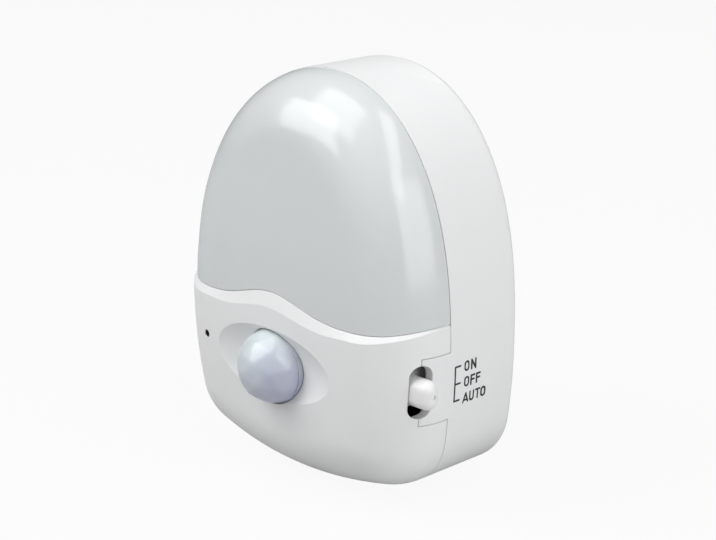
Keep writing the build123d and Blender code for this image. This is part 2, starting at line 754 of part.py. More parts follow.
with BuildPart() as power_board_screws:
    for x, z in power_board_screws_at:
        add(screw(front_plane(x, z, power_board_front), *small_screw))
power_board_screws.part.label = "power_board_screws"
export_step(power_board_screws.part, "parts/power_board_screws.step")

with BuildPart() as dropper_capacitor:
    add(component(dropper_capacitor_size, power_board_front, dropper_capacitor_place))
dropper_capacitor.part.label = "dropper_capacitor"
export_step(dropper_capacitor.part, "parts/dropper_capacitor.step")

can_top = power_board_front + smoothing_capacitor_height
groove_start = power_board_front + smoothing_capacitor_groove
can_radius = smoothing_capacitor_diameter / 2
can_places = [smoothing_capacitor_place]
with BuildPart() as smoothing_capacitor:
    add(posts(can_places, power_board_front, can_top, can_radius))
    fillet(smoothing_capacitor.edges().filter_by(GeomType.CIRCLE), radius=component_round)
    add(posts(can_places, groove_start, groove_start + component_round, 2 * can_radius), mode=Mode.SUBTRACT)
    add(posts(can_places, groove_start, groove_start + component_round, can_radius - component_round))
smoothing_capacitor.part.label = "smoothing_capacitor"
export_step(smoothing_capacitor.part, "parts/smoothing_capacitor.step")

with BuildPart() as bridge_rectifier:
    add(component(bridge_rectifier_size, power_board_front, bridge_rectifier_place))
bridge_rectifier.part.label = "bridge_rectifier"
export_step(bridge_rectifier.part, "parts/bridge_rectifier.step")

varistor_x, varistor_z = varistor_place
with BuildPart() as varistor:
    with BuildSketch(Plane.XY.offset(varistor_z - varistor_thickness / 2)):
        with Locations((varistor_x, -power_board_front - varistor_leg - varistor_diameter / 2)):
            Circle(varistor_diameter / 2)
        with Locations((varistor_x, -power_board_front - varistor_leg)):
            Rectangle(varistor_diameter / 2, 2 * varistor_leg)
    extrude(amount=varistor_thickness)
varistor.part.label = "varistor"
export_step(varistor.part, "parts/varistor.step")

regulator_x, regulator_z = voltage_regulator_place
with BuildPart() as voltage_regulator:
    with BuildSketch(Plane.XZ.offset(power_board_front)):
        with Locations((regulator_x, regulator_z)):
            Circle(regulator_diameter / 2)
        with Locations((regulator_x, regulator_z - regulator_diameter / 2)):
            Rectangle(regulator_diameter, regulator_flat, mode=Mode.SUBTRACT)
    extrude(amount=regulator_height)
voltage_regulator.part.label = "voltage_regulator"
export_step(voltage_regulator.part, "parts/voltage_regulator.step")

with BuildPart() as axial_resistors:
    for x, z, diameter, length in axial_resistor_sizes:
        start = Plane((x, -power_board_front - diameter / 2, z - length / 2))
        with BuildSketch(start):
            Circle(diameter / 2)
        extrude(amount=length)
        fillet(axial_resistors.edges(Select.LAST).filter_by(GeomType.CIRCLE), radius=diameter / 5)
axial_resistors.part.label = "axial_resistors"
export_step(axial_resistors.part, "parts/axial_resistors.step")

# ---- LED board, LEDs and reflector ----
with BuildPart() as led_board:
    with BuildSketch(Plane.XZ.offset(led_board_depth)) as led_board_outline:
        add(case_face(led_board_edge))
        split(bisect_by=Plane.XZ.offset(-led_board_foot_z), keep=Keep.BOTTOM)
        with Locations(*led_board_screws_at):
            Circle(small_screw_diameter / 2 + screw_gap, mode=Mode.SUBTRACT)
    extrude(amount=led_board_thickness)
led_board.part.label = "led_board"
export_step(led_board.part, "parts/led_board.step")

with BuildPart() as leds:
    with BuildSketch(Plane.XZ.offset(led_board_front)):
        with Locations((0, led_centre_z)):
            with GridLocations(led_column_pitch, led_row_pitch, led_columns, led_rows):
                Rectangle(led_size, led_size)
    extrude(amount=led_thickness)
leds.part.label = "leds"
export_step(leds.part, "parts/leds.step")

reflector_front = led_board_front + reflector_thickness
with BuildPart() as baffle:
    add(skirt_inside)
    split(bisect_by=Plane.XZ.offset(led_board_front), keep=Keep.TOP)
    split(bisect_by=Plane.XZ.offset(retainer_depth - baffle_depth_gap), keep=Keep.BOTTOM)
    split(bisect_by=Plane.XY.offset(baffle_z), keep=Keep.TOP)
    split(bisect_by=Plane.XY.offset(baffle_z + reflector_thickness), keep=Keep.BOTTOM)

with BuildPart() as reflector:
    add(skirt_inside)
    split(bisect_by=Plane.XZ.offset(led_board_front), keep=Keep.TOP)
    split(bisect_by=Plane.XZ.offset(reflector_front), keep=Keep.BOTTOM)
    split(bisect_by=Plane.XY.offset(baffle_z), keep=Keep.TOP)
    add(baffle.part)
    with BuildSketch(Plane.XZ.offset(led_board_front)):
        with Locations((0, led_centre_z)):
            with GridLocations(led_column_pitch, led_row_pitch, led_columns, led_rows):
                Rectangle(led_size + 2 * led_window_gap, led_size + 2 * led_window_gap)
        with Locations(*led_board_screws_at):
            Circle(small_screw_diameter / 2 + screw_gap)
    extrude(amount=reflector_thickness, mode=Mode.SUBTRACT)
reflector.part.label = "reflector"
export_step(reflector.part, "parts/reflector.step")

with BuildPart() as led_board_screws:
    for x, z in led_board_screws_at:
        add(screw(front_plane(x, z, reflector_front), *small_screw))
led_board_screws.part.label = "led_board_screws"
export_step(led_board_screws.part, "parts/led_board_screws.step")

# ---- Sensor board and what stands on it ----
switch_body_width = 2 * (switch_depth - sensor_board_front)
switch_base_face = switch_body_face - switch_body_length
terminal_x = switch_base_face + switch_base_thickness / 2
terminal_places = [
    (terminal_x, switch_z + (number - (switch_terminals_across - 1) / 2) * terminal_pitch)
    for number in range(switch_terminals_across)
]
with BuildPart() as sensor_board:
    with BuildSketch(Plane.XZ.offset(sensor_board_rear)):
        with Locations((0, sensor_board_z)):
            RectangleRounded(sensor_board_width, sensor_board_height, board_corner_round)
        with Locations(*sensor_board_screws_at):
            Circle(small_screw_diameter / 2 + screw_gap, mode=Mode.SUBTRACT)
        with Locations(*terminal_places):
            Circle(terminal_size, mode=Mode.SUBTRACT)
    extrude(amount=board_thickness)
sensor_board.part.label = "sensor_board"
export_step(sensor_board.part, "parts/sensor_board.step")

with BuildPart() as sensor_board_screws:
    for x, z in sensor_board_screws_at:
        seat = Plane((x, -sensor_board_rear, z), x_dir=(-1, 0, 0), z_dir=(0, 1, 0))
        add(screw(seat, *small_screw))
sensor_board_screws.part.label = "sensor_board_screws"
export_step(sensor_board_screws.part, "parts/sensor_board_screws.step")

pir_top = sensor_board_front + pir_can_height
pir_place = [(0, lens_z)]
with BuildPart() as pir_sensor:
    add(posts(pir_place, sensor_board_front, sensor_board_front + pir_base_height, pir_base_diameter / 2))
    add(posts(pir_place, sensor_board_front, pir_top, pir_can_diameter / 2))
    fillet(pir_sensor.edges().filter_by(GeomType.CIRCLE).sort_by(Axis.Y)[0], radius=component_round)
    with BuildSketch(Plane.XZ.offset(pir_top)):
        with Locations(*pir_place):
            Rectangle(*pir_window_size)
    extrude(amount=-pir_window_thickness, mode=Mode.SUBTRACT)
pir_sensor.part.label = "pir_sensor"
export_step(pir_sensor.part, "parts/pir_sensor.step")

with BuildPart() as pir_window:
    with BuildSketch(Plane.XZ.offset(pir_top)):
        with Locations(*pir_place):
            Rectangle(*pir_window_size)
    extrude(amount=-pir_window_thickness)
pir_window.part.label = "pir_window"
export_step(pir_window.part, "parts/pir_window.step")

photocell_x, photocell_z = photocell_place
photocell_rear = sensor_board_front + photocell_lift
lead_places = [
    (photocell_x - photocell_lead_pitch / 2, photocell_z),
    (photocell_x + photocell_lead_pitch / 2, photocell_z),
]
with BuildPart() as photocell:
    add(posts([photocell_place], photocell_rear, photocell_rear + photocell_thickness, photocell_diameter / 2))
    add(posts(lead_places, sensor_board_front, photocell_rear, photocell_lead_diameter / 2))
photocell.part.label = "photocell"
export_step(photocell.part, "parts/photocell.step")

sleeve_inner = photocell_diameter / 2 + fit_gap
sleeve_end = lens_face_depth - cover_wall - photocell_sleeve_clearance
nose_start = sleeve_end - photocell_sleeve_wall
nose_end = photocell_face_depth - photocell_nose_recess
nose_radius = photocell_hole_diameter / 2 - press_gap
nose_bore = nose_radius - photocell_nose_wall
with BuildPart() as photocell_sleeve:
    add(posts([photocell_place], sensor_board_front, sleeve_end, sleeve_inner + photocell_sleeve_wall))
    add(posts([photocell_place], nose_start, nose_end, nose_radius))
    add(posts([photocell_place], sensor_board_front, nose_start, sleeve_inner), mode=Mode.SUBTRACT)
    add(posts([photocell_place], nose_start, nose_end, nose_bore), mode=Mode.SUBTRACT)
photocell_sleeve.part.label = "photocell_sleeve"
export_step(photocell_sleeve.part, "parts/photocell_sleeve.step")

with BuildPart() as motion_controller:
    rear_face = sensor_board_rear - motion_controller_size[2]
    add(component(motion_controller_size, rear_face, motion_controller_place))
motion_controller.part.label = "motion_controller"
export_step(motion_controller.part, "parts/motion_controller.step")

with BuildPart() as driver_transistor:
    rear_face = sensor_board_rear - driver_transistor_size[2]
    add(component(driver_transistor_size, rear_face, driver_transistor_place))
driver_transistor.part.label = "driver_transistor"
export_step(driver_transistor.part, "parts/driver_transistor.step")

# ---- Slide switch; its slider, contact and knob move along Z ----
switch_centre = (-switch_depth, switch_z)
stem_travel_length = stem_size + 2 * (switch_travel + switch_gap)
with BuildPart() as switch_body:
    with BuildSketch(Plane.YZ.offset(switch_base_face + switch_base_thickness)):
        with Locations(switch_centre):
            Rectangle(switch_body_width, switch_body_height)
    extrude(amount=switch_body_length - switch_base_thickness)
    with BuildSketch(Plane.YZ.offset(switch_base_face + switch_base_thickness)):
        with Locations(switch_centre):
            Rectangle(switch_body_width - 2 * switch_wall, switch_body_height - 2 * switch_wall)
    extrude(amount=switch_body_length - switch_base_thickness - switch_wall, mode=Mode.SUBTRACT)
    with BuildSketch(Plane.YZ.offset(switch_body_face)):
        with Locations(switch_centre):
            Rectangle(stem_size + 2 * switch_gap, stem_travel_length)
    extrude(amount=-2 * switch_wall, mode=Mode.SUBTRACT)
switch_body.part.label = "switch_body"
export_step(switch_body.part, "parts/switch_body.step")

with BuildPart() as switch_base:
    with BuildSketch(Plane.YZ.offset(switch_base_face)):
        with Locations(switch_centre):
            Rectangle(switch_body_width, switch_body_height)
    extrude(amount=switch_base_thickness)
    with BuildSketch(Plane.XZ.offset(sensor_board_front)):
        with Locations(*terminal_places):
            Rectangle(terminal_size, terminal_size)
    extrude(amount=terminal_size, mode=Mode.SUBTRACT)
switch_base.part.label = "switch_base"
export_step(switch_base.part, "parts/switch_base.step")

with BuildPart() as switch_terminals:
    with BuildSketch(Plane.XZ.offset(sensor_board_front + terminal_size)):
        with Locations(*terminal_places):
            Rectangle(terminal_size, terminal_size)
    extrude(amount=-terminal_size - terminal_length)
switch_terminals.part.label = "switch_terminals"
export_step(switch_terminals.part, "parts/switch_terminals.step")

carriage_width = switch_body_width - 2 * (switch_wall + switch_gap)
carriage_face = switch_body_face - switch_wall - switch_gap
contact_rear = switch_base_face + switch_base_thickness + switch_gap
knob_rear = knob_reach - knob_length
knob_plate_y = (knob_plate_behind - knob_plate_ahead) / 2 - switch_depth
with BuildPart() as switch_slider:
    with BuildSketch(Plane.YZ.offset(contact_rear + contact_thickness)):
        with Locations(switch_centre):
            Rectangle(carriage_width, carriage_height)
    extrude(amount=carriage_face - contact_rear - contact_thickness)
    with BuildSketch(Plane.YZ.offset(carriage_face)):
        with Locations(switch_centre):
            Rectangle(stem_size, stem_size)
    extrude(amount=knob_rear + knob_socket_depth - carriage_face)
switch_slider.part.label = "switch_slider"
export_step(switch_slider.part, "parts/switch_slider.step")

with BuildPart() as switch_contact:
    with BuildSketch(Plane.YZ.offset(contact_rear)):
        with Locations(switch_centre):
            Rectangle(stem_size, contact_height)
    extrude(amount=contact_thickness)
switch_contact.part.label = "switch_contact"
export_step(switch_contact.part, "parts/switch_contact.step")

with BuildPart() as switch_knob:
    with BuildSketch(Plane.YZ.offset(knob_rear)):
        with Locations(switch_centre):
            SlotOverall(knob_height, knob_width, rotation=90)
    extrude(amount=knob_length)
    fillet(switch_knob.faces().sort_by(Axis.X)[-1].edges(), radius=knob_dome_round)
    with BuildSketch(Plane.YZ.offset(knob_rear)):
        with Locations((knob_plate_y, switch_z)):
            RectangleRounded(knob_plate_ahead + knob_plate_behind, knob_plate_height, board_corner_round)
    extrude(amount=knob_plate_thickness)
    with BuildSketch(Plane.YZ.offset(knob_rear)):
        with Locations(switch_centre):
            Rectangle(stem_size + 2 * stem_gap, stem_size + 2 * stem_gap)
    extrude(amount=knob_socket_depth + stem_gap, mode=Mode.SUBTRACT)
    with BuildSketch(Plane.YZ.offset(knob_reach)):
        with Locations(switch_centre):
            Circle(knob_dimple_diameter / 2)
    extrude(amount=-knob_dimple_depth, mode=Mode.SUBTRACT)
switch_knob.part.label = "switch_knob"
export_step(switch_knob.part, "parts/switch_knob.step")

# ---- Case screws, driven from the wall side ----
with BuildPart() as case_screws:
    for x, z in case_screw_places:
        seat = Plane((x, -case_screw_seat, z), x_dir=(-1, 0, 0), z_dir=(0, 1, 0))
        add(
            screw(
                seat, case_screw_diameter, case_screw_length, case_screw_head_diameter, case_screw_head_height
            )
        )
case_screws.part.label = "case_screws"
export_step(case_screws.part, "parts/case_screws.step")

# ---- Wires ----
tail_end = clamp_depth + pin_tail_length
for side, sign in (("live", -1), ("neutral", 1)):
    start_x, end_x, end_z = sign * pin_spacing / 2, sign * wire_spread, power_board_z - wire_drop
    bend_depth = power_board_rear - wire_end_run
    route = [
        (start_x, -tail_end, 0),
        (start_x, -wire_exit_depth, 0),
        (start_x + sign * wire_side_step, -bend_depth, end_z * wire_turn_share),
        (end_x, -bend_depth, end_z),
        (end_x, -power_board_rear, end_z),
    ]
    with BuildPart() as mains_wire:
        add(tube(route, [wire_wide_bend, wire_wide_bend, wire_tight_bend], wire_diameter))
    mains_wire.part.label = f"{side}_wire"
    export_step(mains_wire.part, f"parts/{side}_wire.step")


def bowed_wires(starts, start_depth, ends, end_depth, run):
    """Wires between two boards, each leaving and meeting its board squarely."""
    with BuildPart() as bundle:
        for (start_x, start_z), (end_x, end_z) in zip(starts, ends):
            route = [
                (start_x, -start_depth, start_z),
                (start_x, -start_depth - run, start_z),
                (end_x, -end_depth + run, end_z),
                (end_x, -end_depth, end_z),
            ]
            add(tube(route, [wire_wide_bend, wire_wide_bend], wire_diameter))
    return bundle.part


with BuildPart() as led_wires:
    add(bowed_wires(led_wire_starts, power_board_front, led_wire_ends, led_board_depth, wire_run))
led_wires.part.label = "led_wires"
export_step(led_wires.part, "parts/led_wires.step")

with BuildPart() as sensor_wires:
    add(bowed_wires(sensor_wire_starts, power_board_front, sensor_wire_ends, sensor_board_rear, wire_run))
sensor_wires.part.label = "sensor_wires"
export_step(sensor_wires.part, "parts/sensor_wires.step")
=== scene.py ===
import json
from math import atan2, pi, radians

import bpy
from mathutils import Euler, Matrix, Vector


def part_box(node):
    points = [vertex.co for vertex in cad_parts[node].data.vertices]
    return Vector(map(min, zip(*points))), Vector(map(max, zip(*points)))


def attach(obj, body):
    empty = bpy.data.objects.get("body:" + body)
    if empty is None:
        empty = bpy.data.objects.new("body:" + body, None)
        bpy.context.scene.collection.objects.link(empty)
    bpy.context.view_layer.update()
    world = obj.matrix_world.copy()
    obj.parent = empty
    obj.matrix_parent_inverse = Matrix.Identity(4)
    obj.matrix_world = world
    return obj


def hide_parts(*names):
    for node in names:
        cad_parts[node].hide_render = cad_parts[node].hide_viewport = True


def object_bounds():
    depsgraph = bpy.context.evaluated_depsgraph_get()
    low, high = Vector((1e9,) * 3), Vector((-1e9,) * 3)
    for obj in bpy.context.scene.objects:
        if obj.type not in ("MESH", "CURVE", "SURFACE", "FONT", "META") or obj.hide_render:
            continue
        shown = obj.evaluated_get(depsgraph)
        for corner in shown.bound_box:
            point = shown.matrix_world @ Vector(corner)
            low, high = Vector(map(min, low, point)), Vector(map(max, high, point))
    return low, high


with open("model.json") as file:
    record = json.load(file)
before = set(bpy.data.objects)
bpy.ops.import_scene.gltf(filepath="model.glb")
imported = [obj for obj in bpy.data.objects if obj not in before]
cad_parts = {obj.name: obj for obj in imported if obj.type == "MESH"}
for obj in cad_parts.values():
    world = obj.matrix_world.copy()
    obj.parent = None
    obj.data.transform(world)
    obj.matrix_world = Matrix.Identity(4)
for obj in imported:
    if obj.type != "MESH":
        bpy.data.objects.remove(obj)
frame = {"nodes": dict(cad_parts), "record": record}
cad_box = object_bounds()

nodes = frame["nodes"]
record = frame["record"]

# ---------------------------------------------------------------- camera
camera_target = Vector((-0.009908, -0.004805, -0.003497))
camera_azimuth = radians(45.483)
camera_elevation = radians(16.934)
camera_roll = radians(-0.033)
camera_distance = 0.415744
camera_turn = Euler((pi / 2 - camera_elevation, 0, camera_azimuth)).to_matrix()
camera_turn = camera_turn @ Matrix.Rotation(camera_roll, 3, "Z")
bpy.ops.object.camera_add()
camera = bpy.context.object
camera.location = camera_target + camera_distance * (camera_turn @ Vector((0, 0, 1)))
camera.rotation_euler = camera_turn.to_euler()
camera.data.sensor_width = 36
camera.data.lens = 77.887
camera.data.clip_start = 0.01
bpy.context.scene.camera = camera


# ---------------------------------------------------------------- shared effects
def effect(name, inputs, outputs):
    """A shader node group with named sockets: the group, its input node and its output node."""
    group = bpy.data.node_groups.new(name, "ShaderNodeTree")
    for label, kind, value in inputs:
        socket = group.interface.new_socket(label, in_out="INPUT", socket_type=kind)
        socket.default_value = value
    for label, kind in outputs:
        group.interface.new_socket(label, in_out="OUTPUT", socket_type=kind)
    return group, group.nodes.new("NodeGroupInput"), group.nodes.new("NodeGroupOutput")


def feed(group, socket, value):
    """Sets a socket to a number, or links it to another socket."""
    if isinstance(value, (int, float)):
        socket.default_value = value
    else:
        group.links.new(value, socket)


def maths(group, operation, *values):
    """A math node; each value is a socket or a number."""
    node = group.nodes.new("ShaderNodeMath")
    node.operation = operation
    for socket, value in zip(node.inputs, values):
        feed(group, socket, value)
    return node.outputs[0]


def noise(group, vector, scale, detail, roughness):
    """A noise texture over vector; scale is a socket or a number."""
    node = group.nodes.new("ShaderNodeTexNoise")
    group.links.new(vector, node.inputs["Vector"])
    feed(group, node.inputs["Scale"], scale)
    node.inputs["Detail"].default_value = detail
    node.inputs["Roughness"].default_value = roughness
    return node.outputs["Fac"]


# Spark-eroded mould texture: fine grain in the height, slow drift in the roughness.
drift_per_metre = 70.0
noise_middle = 0.5
grain, grain_in, grain_out = effect(
    "moulded_grain",
    [("Grain per metre", "NodeSocketFloat", 3000.0)],
    [("Height", "NodeSocketFloat"), ("Drift", "NodeSocketFloat")],
)
place = grain.nodes.new("ShaderNodeTexCoord").outputs["Object"]
fine = noise(grain, place, grain_in.outputs["Grain per metre"], detail=3.0, roughness=0.55)
slow = noise(grain, place, drift_per_metre, detail=3.0, roughness=0.6)
grain.links.new(fine, grain_out.inputs["Height"])
grain.links.new(maths(grain, "SUBTRACT", slow, noise_middle), grain_out.inputs["Drift"])

# Handling marks: faint smears where broad noise runs high, longer upward than front to back.
smear_stretch = (1.0, 2.6, 0.7)
smear_threshold = 0.52
smears, smears_in, smears_out = effect(
    "handling_smears",
    [("Smears per metre", "NodeSocketFloat", 120.0), ("Amount", "NodeSocketFloat", 0.1)],
    [("Mask", "NodeSocketFloat")],
)
place = smears.nodes.new("ShaderNodeTexCoord").outputs["Object"]
stretch = smears.nodes.new("ShaderNodeMapping")
stretch.inputs["Scale"].default_value = smear_stretch
smears.links.new(place, stretch.inputs["Vector"])
size = smears_in.outputs["Smears per metre"]
broad = noise(smears, stretch.outputs[0], size, detail=4.0, roughness=0.6)
lifted = maths(smears, "MAXIMUM", maths(smears, "SUBTRACT", broad, smear_threshold), 0.0)
mask = maths(smears, "MULTIPLY", lifted, smears_in.outputs["Amount"])
smears.links.new(mask, smears_out.inputs["Mask"])

# Metal: noise stretched into fine lines, or left as grain where the three counts are equal.
brushed, brushed_in, brushed_out = effect(
    "drawn_lines",
    [("Lines per metre", "NodeSocketVector", (9000.0, 400.0, 9000.0))],
    [("Height", "NodeSocketFloat"), ("Tone", "NodeSocketFloat")],
)
place = brushed.nodes.new("ShaderNodeTexCoord").outputs["Object"]
stretch = brushed.nodes.new("ShaderNodeMapping")
brushed.links.new(place, stretch.inputs["Vector"])
brushed.links.new(brushed_in.outputs["Lines per metre"], stretch.inputs["Scale"])
lines = noise(brushed, stretch.outputs[0], 1.0, detail=2.0, roughness=0.5)
brushed.links.new(lines, brushed_out.inputs["Height"])
brushed.links.new(maths(brushed, "SUBTRACT", lines, noise_middle), brushed_out.inputs["Tone"])


def place_effect(material, group, **values):
    """Places a shared effect in a material and sets its named values."""
    node = material.node_tree.nodes.new("ShaderNodeGroup")
    node.node_tree = group
    for label, value in values.items():
        node.inputs[label.replace("_", " ")].default_value = value
    return node


def finish_of(name, colour, roughness, metallic=0.0, coat=0.0):
    """A new material with its shader's plain values set."""
    material = bpy.data.materials.new(name)
    material.use_nodes = True
    shader = material.node_tree.nodes["Principled BSDF"]
    shader.inputs["Base Color"].default_value = (*colour, 1)
    shader.inputs["Roughness"].default_value = roughness
    shader.inputs["Metallic"].default_value = metallic
    shader.inputs["Coat Weight"].default_value = coat
    return material, shader


def darker(colour, spread):
    """The colour, darker by the share spread."""
    return tuple(value * (1 - spread) for value in colour)


def blended_colour(material, shader, factor, first, second):
    """Base colour that goes from first to second as factor goes from 0 to 1."""
    mix = material.node_tree.nodes.new("ShaderNodeMix")
    mix.data_type = "RGBA"
    factor_in, first_in, second_in = mix.inputs[0], mix.inputs[6], mix.inputs[7]
    result = mix.outputs[2]
    first_in.default_value = (*first, 1)
    second_in.default_value = (*second, 1)
    material.node_tree.links.new(factor, factor_in)
    material.node_tree.links.new(result, shader.inputs["Base Color"])


def raised(material, shader, height, distance, edge_round=0.0):
    """Bump of a real height, in metres, over edges that look rounded by edge_round."""
    bump = material.node_tree.nodes.new("ShaderNodeBump")
    if edge_round:
        soft_edge = material.node_tree.nodes.new("ShaderNodeBevel")
        soft_edge.samples = 8
        soft_edge.inputs["Radius"].default_value = edge_round
        material.node_tree.links.new(soft_edge.outputs[0], bump.inputs["Normal"])
    bump.inputs["Distance"].default_value = distance
    bump.inputs["Strength"].default_value = 1.0
    material.node_tree.links.new(height, bump.inputs["Height"])
    material.node_tree.links.new(bump.outputs[0], shader.inputs["Normal"])


def varied_roughness(material, shader, roughness, shift, share):
    """Roughness that drifts by share with shift."""
    tree = material.node_tree
    tree.links.new(
        maths(tree, "MULTIPLY_ADD", shift, share, roughness), shader.inputs["Roughness"]
    )


def moulded(name, colour, roughness, grain_size, depth, marks, coat=0.0, edge_round=0.0):
    """Injection-moulded plastic: grain, roughness drift and handling smears."""
    material, shader = finish_of(name, colour, roughness, coat=coat)
    texture = place_effect(material, grain, Grain_per_metre=1 / grain_size)
    touched = place_effect(material, smears, Amount=marks)
    raised(material, shader, texture.outputs["Height"], depth, edge_round)
    varied_roughness(material, shader, roughness, texture.outputs["Drift"], share=0.12)
    smeared = darker(colour, spread=0.25)
    blended_colour(material, shader, touched.outputs["Mask"], colour, smeared)
    return material


def lens_plastic_with_painted_shade(name, lit_colour, painted_shade_colour, roughness):
    """Milky polythene with painted shade: the colour goes from the lit colour at the upper left to
    a darker, bluer painted shade at the lower right, varied cell by cell.
    """
    # Painted shade: the lens is painted darker and bluer toward the lower right.
    start_height, painted_shade_start = -0.0183, 0.42
    painted_shade_across, painted_shade_up = 34.0, 40.0
    cells_per_metre, cell_middle, cell_painted_shade_share = 190.0, 0.4, 0.35
    material, shader = finish_of(name, lit_colour, roughness, coat=0.12)
    tree = material.node_tree
    place = tree.nodes.new("ShaderNodeTexCoord").outputs["Object"]
    axes = tree.nodes.new("ShaderNodeSeparateXYZ")
    tree.links.new(place, axes.inputs[0])
    cells = tree.nodes.new("ShaderNodeTexVoronoi")
    cells.inputs["Scale"].default_value = cells_per_metre
    tree.links.new(place, cells.inputs["Vector"])
    across = maths(tree, "MULTIPLY", axes.outputs["X"], painted_shade_across)
    above_start = maths(tree, "SUBTRACT", axes.outputs["Z"], start_height)
    up = maths(tree, "MULTIPLY", above_start, painted_shade_up)
    # Painted shade share: rises to the right and downward from the start height, shifted cell by
    # cell.
    drift = maths(tree, "ADD", maths(tree, "SUBTRACT", across, up), painted_shade_start)
    cell_shift = maths(tree, "SUBTRACT", cells.outputs["Distance"], cell_middle)
    share = maths(tree, "ADD", drift, maths(tree, "MULTIPLY", cell_shift, cell_painted_shade_share))
    share = maths(tree, "MINIMUM", maths(tree, "MAXIMUM", share, 0.0), 1.0)
    blended_colour(material, shader, share, lit_colour, painted_shade_colour)
    texture = place_effect(material, grain, Grain_per_metre=1200.0)
    raised(material, shader, texture.outputs["Height"], distance=0.000004)
    varied_roughness(material, shader, roughness, texture.outputs["Drift"], share=0.1)
    return material


def metal(name, colour, roughness, lines, depth):
    """Drawn, turned or plated metal."""
    material, shader = finish_of(name, colour, roughness, metallic=1.0)
    texture = place_effect(material, brushed, Lines_per_metre=lines)
    raised(material, shader, texture.outputs["Height"], depth)
    varied_roughness(material, shader, roughness, texture.outputs["Tone"], share=0.2)
    crests = darker(colour, spread=0.18)
    blended_colour(material, shader, texture.outputs["Height"], colour, crests)
    return material


def circuit_board(name, mask_colour, trace_colour):
    """Solder mask over copper tracks that run in short straight pieces."""
    roughness = 0.32
    track_height = 0.00003
    material, shader = finish_of(name, mask_colour, roughness, coat=0.4)
    tree = material.node_tree
    place = tree.nodes.new("ShaderNodeTexCoord").outputs["Object"]
    turn = tree.nodes.new("ShaderNodeMapping")
    turn.inputs["Rotation"].default_value = (pi / 2, 0, 0)
    tree.links.new(place, turn.inputs["Vector"])
    tracks = tree.nodes.new("ShaderNodeTexBrick")
    tracks.inputs["Scale"].default_value = 90.0
    tracks.inputs["Mortar Size"].default_value = 0.035
    tracks.inputs["Mortar Smooth"].default_value = 0.1
    tracks.inputs["Color1"].default_value = (*mask_colour, 1)
    tracks.inputs["Color2"].default_value = (*darker(mask_colour, spread=0.07), 1)
    tracks.inputs["Mortar"].default_value = (*trace_colour, 1)
    tree.links.new(turn.outputs[0], tracks.inputs["Vector"])
    tree.links.new(tracks.outputs["Color"], shader.inputs["Base Color"])
    raised(material, shader, tracks.outputs["Fac"], track_height)
    texture = place_effect(material, grain, Grain_per_metre=1500.0)
    varied_roughness(material, shader, roughness, texture.outputs["Drift"], share=0.2)
    return material


# ---------------------------------------------------------------- finishes, by the record's slots
case_white = (0.82, 0.825, 0.83)


def case_moulding(name):
    """The plastic of the two halves of the case."""
    return moulded(
        name, case_white, roughness=0.42, grain_size=0.00028, depth=0.000010, marks=0.10,
        edge_round=0.0003,
    )


# Plastics and lacquers: colour, roughness, grain size and grain depth in metres, amount of
# smears. The lens has a lit colour and a darker, bluer painted-shade colour, and its roughness.
finishes = {
    "housing": case_moulding("case_white_housing"),
    "cover": case_moulding("case_white_cover"),
    "diffuser": moulded(
        "milky_diffuser", (0.655, 0.68, 0.685), 0.19, 0.0009, 0.000004, 0.06, coat=0.15
    ),
    # Painted shade: the lens's second colour is a darker, bluer shade painted toward the lower
    # right.
    "lens": lens_plastic_with_painted_shade("milky_lens_painted_shade", (0.62, 0.69, 0.70), (0.45, 0.46, 0.60), 0.26),
    "knob": moulded(
        "knob_white", (0.84, 0.84, 0.84), 0.30, 0.0004, 0.000005, 0.10, edge_round=0.0002
    ),
    "sleeve": moulded("sleeve_dark", (0.03, 0.03, 0.032), 0.45, 0.0003, 0.000008, 0.3),
    "clamp": moulded("clamp_plastic", (0.66, 0.66, 0.65), 0.5, 0.0004, 0.000010, 0.3),
    "reflector": moulded("reflector_white", (0.88, 0.88, 0.88), 0.55, 0.0004, 0.000008, 0.05),
    "led": moulded("led_phosphor", (0.78, 0.60, 0.10), 0.2, 0.0002, 0.000004, 0.2, coat=0.6),
    "film_capacitor": moulded(
        "dipped_red_brown", (0.26, 0.02, 0.01), 0.22, 0.0012, 0.000030, 0.3, coat=0.5
    ),
    "can": moulded("capacitor_film", (0.012, 0.014, 0.022), 0.3, 0.0009, 0.000006, 0.4, coat=0.3),
    "chip": moulded("moulding_black", (0.010, 0.010, 0.011), 0.6, 0.00025, 0.000012, 0.3),
    "varistor": moulded("dipped_blue", (0.012, 0.04, 0.17), 0.25, 0.0012, 0.000030, 0.3, coat=0.4),
    "resistor": moulded("resistor_lacquer", (0.36, 0.24, 0.12), 0.35, 0.0008, 0.000020, 0.3),
    "sensor_window": moulded(
        "filter_window", (0.012, 0.008, 0.009), 0.08, 0.002, 0.000002, 0.2, coat=1.0
    ),
    "photocell": moulded("photocell_face", (0.40, 0.13, 0.04), 0.4, 0.0004, 0.000020, 0.3),
    "black_tube": moulded("black_tube", (0.006, 0.006, 0.006), 0.5, 0.0003, 0.000008, 0.3),
    "switch_base": moulded("phenolic_black", (0.012, 0.011, 0.010), 0.55, 0.0003, 0.000012, 0.3),
    "slider": moulded("slider_black", (0.010, 0.010, 0.010), 0.5, 0.0003, 0.000010, 0.3),
    "wire_live": moulded("wire_brown", (0.12, 0.04, 0.015), 0.4, 0.0008, 0.000006, 0.3),
    "wire_neutral": moulded("wire_blue", (0.015, 0.05, 0.27), 0.4, 0.0008, 0.000006, 0.3),
    "wire_low": moulded("wire_white", (0.62, 0.62, 0.60), 0.4, 0.0008, 0.000006, 0.3),
    "ink": moulded("print_ink", (0.022, 0.023, 0.027), 0.5, 0.0003, 0.000003, 0.1),
}
